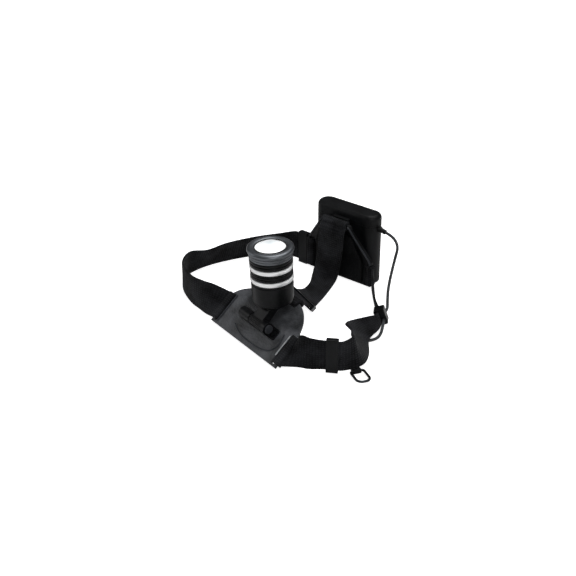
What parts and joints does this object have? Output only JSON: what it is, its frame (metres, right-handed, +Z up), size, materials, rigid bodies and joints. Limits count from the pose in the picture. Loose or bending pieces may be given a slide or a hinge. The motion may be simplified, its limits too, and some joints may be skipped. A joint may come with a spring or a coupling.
{
  "type": "headband torch",
  "caption": "Headband torch with a tilting zoom lamp on a forehead plate, elastic bands and a rear battery case with a hinged lid.",
  "frame": {"origin": "centre of the battery case's foot, on the surface the set rests on", "axes": "+X to the case's right as it faces the lamp's rear side, +Y away from the lamp, +Z up"},
  "size_m": [0.2212, 0.1753, 0.081],
  "materials": {
    "case_plastic": "fine grain",
    "dark_plastic": "satin",
    "black_metal": "satin anodised black",
    "bright_metal": "bright turned",
    "bare_metal": "machined",
    "steel": "plain",
    "dark_steel": "dark",
    "spring_steel": "bright",
    "cell_skin": "printed sleeve",
    "band_fabric": "woven elastic",
    "pad_skin": "soft grained",
    "plate_skin": "smooth",
    "rubber": "matte",
    "lens": "clear",
    "board": "solder mask",
    "emitter": "phosphor"
  },
  "bodies": {
    "set": {"battery_case": "case_plastic", "lid_hinge_pin": "steel", "latch_pin": "steel", "cell_1": "cell_skin", "cell_2": "cell_skin", "cell_3": "cell_skin", "cell_4": "cell_skin", "contact_springs": "spring_steel", "contact_plates": "spring_steel", "lid_seal": "rubber", "lead_boot": "rubber", "rear_bracket": "case_plastic", "rear_pad": "pad_skin", "bracket_screws": "dark_steel", "front_plate": "plate_skin", "forehead_pad": "pad_skin", "hinge_base": "dark_plastic", "base_screws": "dark_steel", "hinge_pin": "dark_steel", "left_strap": "band_fabric", "right_strap": "band_fabric", "top_strap": "band_fabric", "left_slider": "dark_plastic", "right_slider": "dark_plastic", "top_slider": "dark_plastic", "strap_clip": "dark_plastic", "ring_tab": "band_fabric", "lead_grommet": "rubber", "lead": "rubber"},
    "lid": {"battery_lid": "case_plastic", "lid_contacts": "spring_steel"},
    "latch": {"lid_latch": "case_plastic"},
    "lamp": {"tilt_arm": "black_metal", "arm_screws": "dark_steel", "tail_cap": "black_metal", "lamp_housing": "black_metal", "accent_ring_lower": "bright_metal", "focus_collar": "black_metal", "inner_barrel": "black_metal", "barrel_seal": "rubber", "heat_sink": "bare_metal", "driver_board": "board", "led_board": "board", "led_emitter": "emitter", "switch_module": "dark_plastic"},
    "zoom_head": {"accent_ring_upper": "bright_metal", "focus_sleeve": "black_metal", "lens_gasket": "rubber", "front_lens": "lens", "bezel_ring": "black_metal"},
    "button": {"switch_button": "rubber"},
    "ring": {"lanyard_ring": "steel"}
  },
  "joints": [
    {"name": "lamp_tilt", "type": "hinge", "parent": "set", "child": "lamp", "pos_m": [0.02149, -0.14064, 0.01925], "axis": [0.9673, -0.2538, 0], "range_deg": [0, 90]},
    {"name": "zoom", "type": "slide", "parent": "lamp", "child": "zoom_head", "axis": [-0.0133, -0.0506, 0.9986], "range_m": [0, 0.006]},
    {"name": "button_press", "type": "slide", "parent": "lamp", "child": "button", "axis": [-0.2534, -0.9659, -0.0523], "range_m": [0, 0.0008], "stiffness_N_per_m": 800},
    {"name": "lid_hinge", "type": "hinge", "parent": "set", "child": "lid", "pos_m": [0, 0.0118, 0.0551], "axis": [-1, 0, 0], "range_deg": [0, 110]},
    {"name": "latch_hinge", "type": "hinge", "parent": "set", "child": "latch", "pos_m": [0, -0.0118, 0.0425], "axis": [1, 0, 0], "range_deg": [0, 10]},
    {"name": "ring_swing", "type": "hinge", "parent": "set", "child": "ring", "pos_m": [0.104, -0.1257, 0.00195], "axis": [-0.5, -0.866, 0], "range_deg": [0, 68]}
  ]
}
